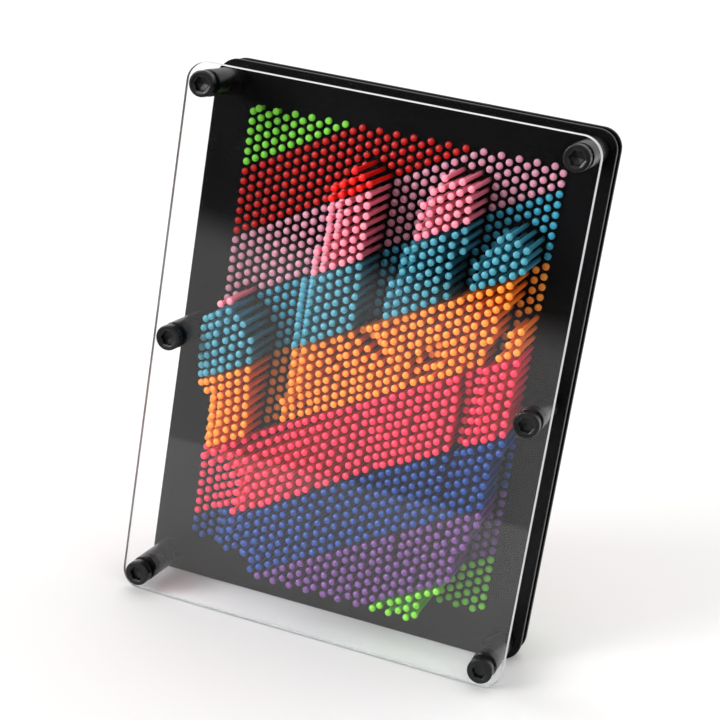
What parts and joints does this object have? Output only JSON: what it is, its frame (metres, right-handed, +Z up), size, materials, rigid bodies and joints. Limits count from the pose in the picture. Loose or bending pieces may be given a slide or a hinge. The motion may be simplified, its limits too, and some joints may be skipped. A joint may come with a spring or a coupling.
{
  "type": "pin art impression toy",
  "caption": "Desktop pin art toy: rainbow rows of sliding plastic pins hold a hand impression between drilled plates and a clear front sheet.",
  "frame": {"origin": "middle of the footprint, on the surface that the boards stand on", "axes": "+Z up the boards, -Y out of the clear sheet towards the viewer, +X to the viewer's right"},
  "size_m": [0.15, 0.0708, 0.2],
  "materials": {
    "clear_acrylic": "clear polished acrylic",
    "black_plate": "black, smooth",
    "black_hardware": "black, semi-gloss",
    "pins_green": "satin injection moulded",
    "pins_red": "satin injection moulded",
    "pins_pink": "satin injection moulded",
    "pins_teal": "satin injection moulded",
    "pins_orange": "satin injection moulded",
    "pins_rose": "satin injection moulded",
    "pins_blue": "satin injection moulded",
    "pins_purple": "satin injection moulded",
    "pins_lime": "satin injection moulded"
  },
  "bodies": {
    "frame": {"clear_front_sheet": "clear_acrylic", "front_pin_plate": "black_plate", "rear_pin_plate": "black_plate", "front_cap_screw_top_left": "black_hardware", "front_cap_screw_top_right": "black_hardware", "front_cap_screw_middle_left": "black_hardware", "front_cap_screw_middle_right": "black_hardware", "front_cap_screw_bottom_left": "black_hardware", "front_cap_screw_bottom_right": "black_hardware", "long_spacer_top_left": "black_hardware", "long_spacer_top_right": "black_hardware", "long_spacer_middle_left": "black_hardware", "long_spacer_middle_right": "black_hardware", "long_spacer_bottom_left": "black_hardware", "long_spacer_bottom_right": "black_hardware", "short_spacer_top_left": "black_hardware", "short_spacer_top_right": "black_hardware", "short_spacer_middle_left": "black_hardware", "short_spacer_middle_right": "black_hardware", "short_spacer_bottom_left": "black_hardware", "short_spacer_bottom_right": "black_hardware", "rear_cap_screw_top_left": "black_hardware", "rear_cap_screw_top_right": "black_hardware", "rear_cap_screw_middle_left": "black_hardware", "rear_cap_screw_middle_right": "black_hardware", "rear_cap_screw_bottom_left": "black_hardware", "rear_cap_screw_bottom_right": "black_hardware"},
    "thumb_pins": {"thumb_tip_pink": "pins_pink", "thumb_teal": "pins_teal", "thumb_orange": "pins_orange"},
    "index_pins": {"index_red": "pins_red", "index_pink": "pins_pink", "index_teal": "pins_teal"},
    "middle_pins": {"middle_pink": "pins_pink", "middle_teal": "pins_teal"},
    "ring_pins": {"ring_teal": "pins_teal", "ring_orange": "pins_orange"},
    "little_pins": {"little_orange": "pins_orange", "little_rose": "pins_rose"},
    "palm_pins": {"palm_orange": "pins_orange", "palm_rose": "pins_rose"},
    "heel_pins": {"heel_blue": "pins_blue", "heel_purple": "pins_purple", "heel_lime": "pins_lime"},
    "upper_field_pins": {"upper_green": "pins_green", "upper_red": "pins_red", "upper_pink_left": "pins_pink", "upper_pink_right": "pins_pink", "upper_teal_left": "pins_teal", "upper_teal_middle": "pins_teal", "upper_teal_right": "pins_teal", "upper_orange_left": "pins_orange", "upper_orange_right": "pins_orange"},
    "left_field_pins": {"left_orange": "pins_orange", "left_rose": "pins_rose", "left_blue": "pins_blue"},
    "right_field_pins": {"right_blue": "pins_blue", "right_purple": "pins_purple", "right_lime": "pins_lime"},
    "single_pin": {"single_pin": "pins_green"}
  },
  "joints": [
    {"name": "thumb_slide", "type": "slide", "parent": "frame", "child": "thumb_pins", "axis": [0, -1, 0], "range_m": [-0.014, 0.0013]},
    {"name": "index_slide", "type": "slide", "parent": "frame", "child": "index_pins", "axis": [0, -1, 0], "range_m": [-0.0191, 0.001]},
    {"name": "middle_slide", "type": "slide", "parent": "frame", "child": "middle_pins", "axis": [0, -1, 0], "range_m": [-0.0189, 0.001]},
    {"name": "ring_slide", "type": "slide", "parent": "frame", "child": "ring_pins", "axis": [0, -1, 0], "range_m": [-0.0203, 0.0003]},
    {"name": "little_slide", "type": "slide", "parent": "frame", "child": "little_pins", "axis": [0, -1, 0], "range_m": [-0.0216, 0.0008]},
    {"name": "palm_slide", "type": "slide", "parent": "frame", "child": "palm_pins", "axis": [0, -1, 0], "range_m": [-0.0104, 0.0009]},
    {"name": "heel_slide", "type": "slide", "parent": "frame", "child": "heel_pins", "axis": [0, -1, 0], "range_m": [-0.0163, 0.0009]},
    {"name": "upper_field_slide", "type": "slide", "parent": "frame", "child": "upper_field_pins", "axis": [0, -1, 0], "range_m": [0, 0.0202]},
    {"name": "left_field_slide", "type": "slide", "parent": "frame", "child": "left_field_pins", "axis": [0, -1, 0], "range_m": [0, 0.0169]},
    {"name": "right_field_slide", "type": "slide", "parent": "frame", "child": "right_field_pins", "axis": [0, -1, 0], "range_m": [0, 0.0235]},
    {"name": "single_pin_slide", "type": "slide", "parent": "frame", "child": "single_pin", "axis": [0, -1, 0], "range_m": [-0.0033, 0.0203]}
  ]
}
